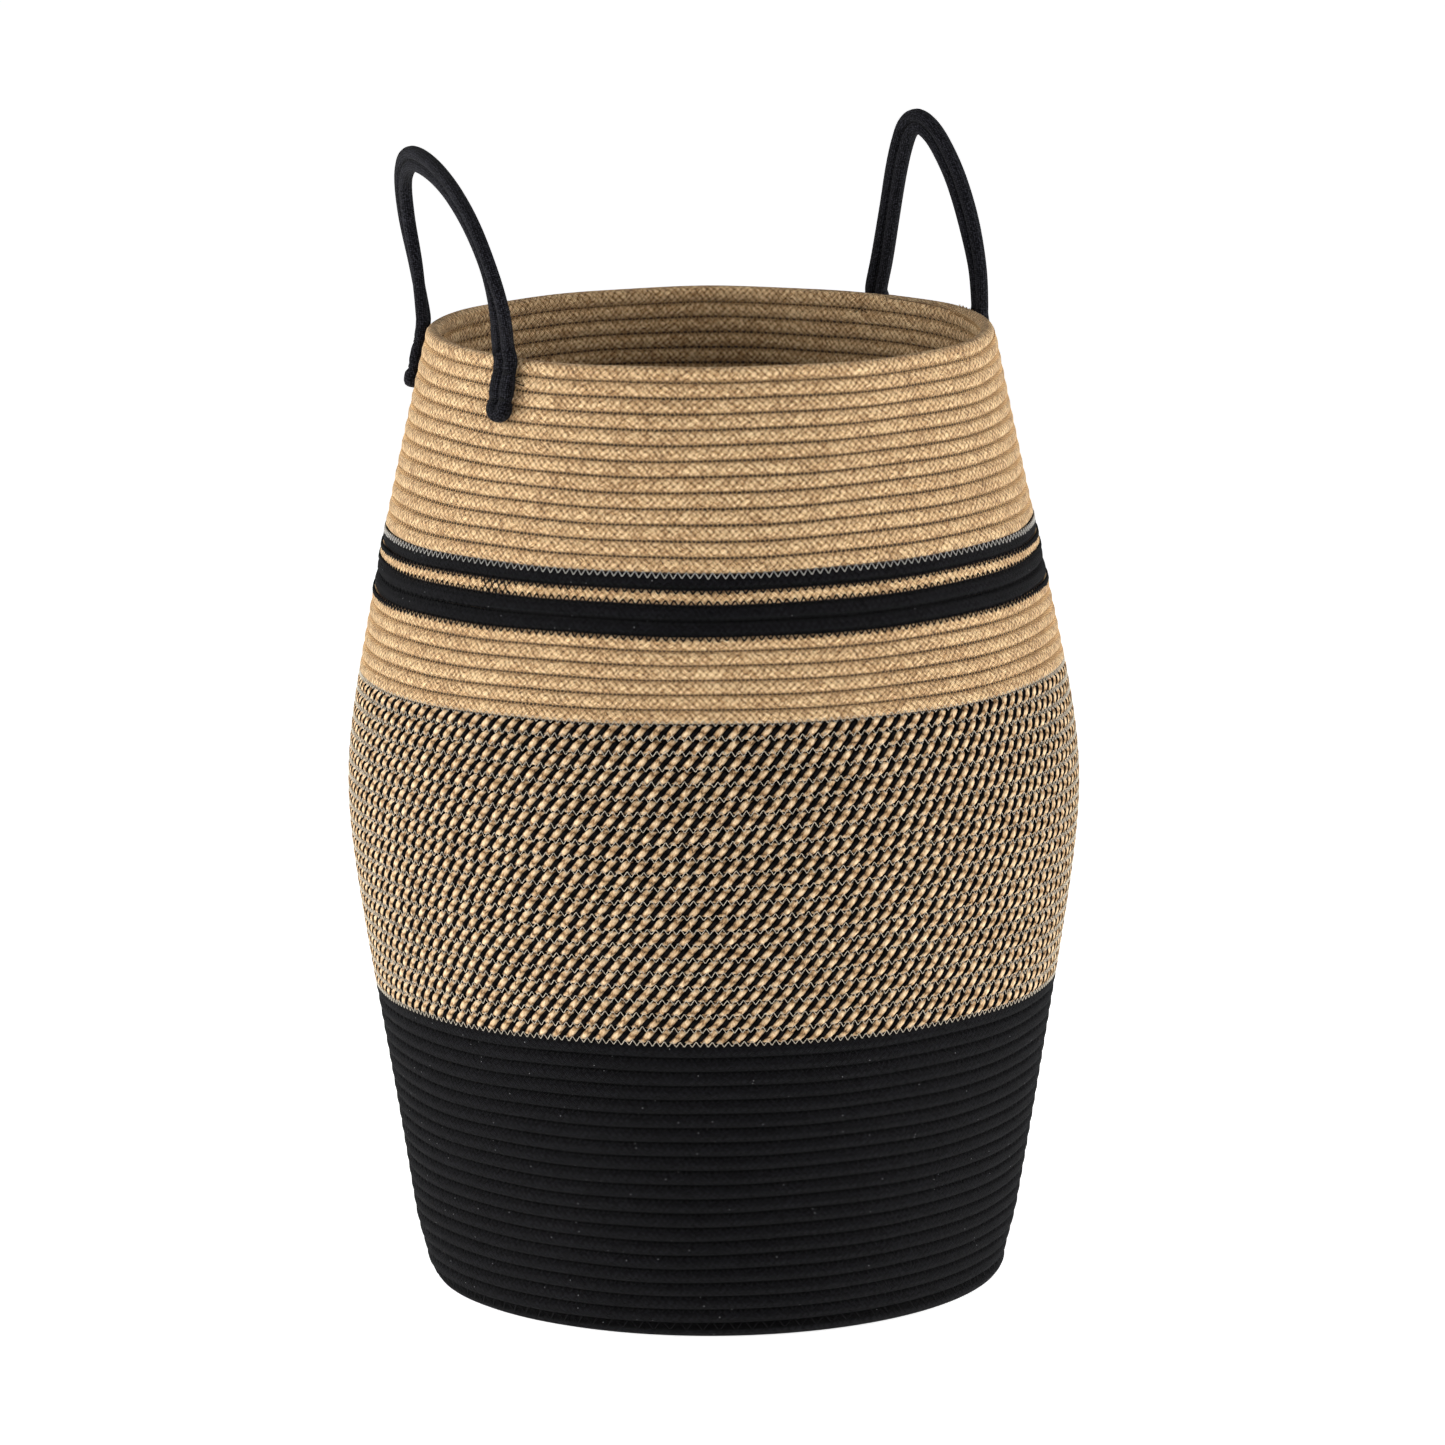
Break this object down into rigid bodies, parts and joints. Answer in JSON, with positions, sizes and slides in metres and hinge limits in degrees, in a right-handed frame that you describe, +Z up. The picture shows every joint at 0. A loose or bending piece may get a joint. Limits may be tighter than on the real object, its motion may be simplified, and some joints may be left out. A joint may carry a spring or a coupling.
{
  "type": "coiled rope laundry basket",
  "caption": "Tall bellied hamper of stitched rope coils in black, two-tone and jute bands, with two folding strap handles at the rim.",
  "frame": {"origin": "centre of the floor's underside, on the surface that the basket stands on", "axes": "+Z up along the basket's axis, X through the handles' sides, the handles' middles turned slightly towards +Y"},
  "size_m": [0.3974, 0.3972, 0.6287],
  "materials": {
    "jute_rope": "matt braided jute",
    "black_rope": "matt braided cotton",
    "twisted_rope": "matt four-strand lay, two jute strands and two black",
    "black_cord": "matt felted cotton strap",
    "black_thread": "sewing thread",
    "cream_thread": "sewing thread",
    "grey_thread": "sewing thread",
    "jute_thread": "sewing thread"
  },
  "bodies": {
    "basket": {"base_coil": "black_rope", "black_wall_coil": "black_rope", "twisted_wall_coil": "twisted_rope", "lower_jute_coil": "jute_rope", "black_double_stripe": "black_rope", "jute_stripe": "jute_rope", "black_single_stripe": "black_rope", "upper_jute_coil": "jute_rope", "rim_turn": "jute_rope", "black_seam_thread": "black_thread", "cream_seam_thread": "cream_thread", "black_zigzag_thread": "black_thread", "grey_zigzag_thread": "grey_thread", "jute_seam_thread": "jute_thread", "left_handle_front_end": "black_cord", "left_handle_back_end": "black_cord", "left_handle_front_stitches": "black_thread", "left_handle_back_stitches": "black_thread", "right_handle_front_end": "black_cord", "right_handle_back_end": "black_cord", "right_handle_front_stitches": "black_thread", "right_handle_back_stitches": "black_thread"},
    "left_handle": {"left_handle_outer_cord": "black_cord", "left_handle_inner_cord": "black_cord", "left_handle_seam_thread": "black_thread"},
    "right_handle": {"right_handle_outer_cord": "black_cord", "right_handle_inner_cord": "black_cord", "right_handle_seam_thread": "black_thread"}
  },
  "joints": [
    {"name": "left_handle_swing", "type": "hinge", "parent": "basket", "child": "left_handle", "pos_m": [-0.1382, 0.02288, 0.526], "axis": [-0.1633, -0.9866, 0], "range_deg": [-100, 105]},
    {"name": "right_handle_swing", "type": "hinge", "parent": "basket", "child": "right_handle", "pos_m": [0.14844, 0.02457, 0.526], "axis": [-0.1633, 0.9866, 0], "range_deg": [-80, 125]}
  ]
}
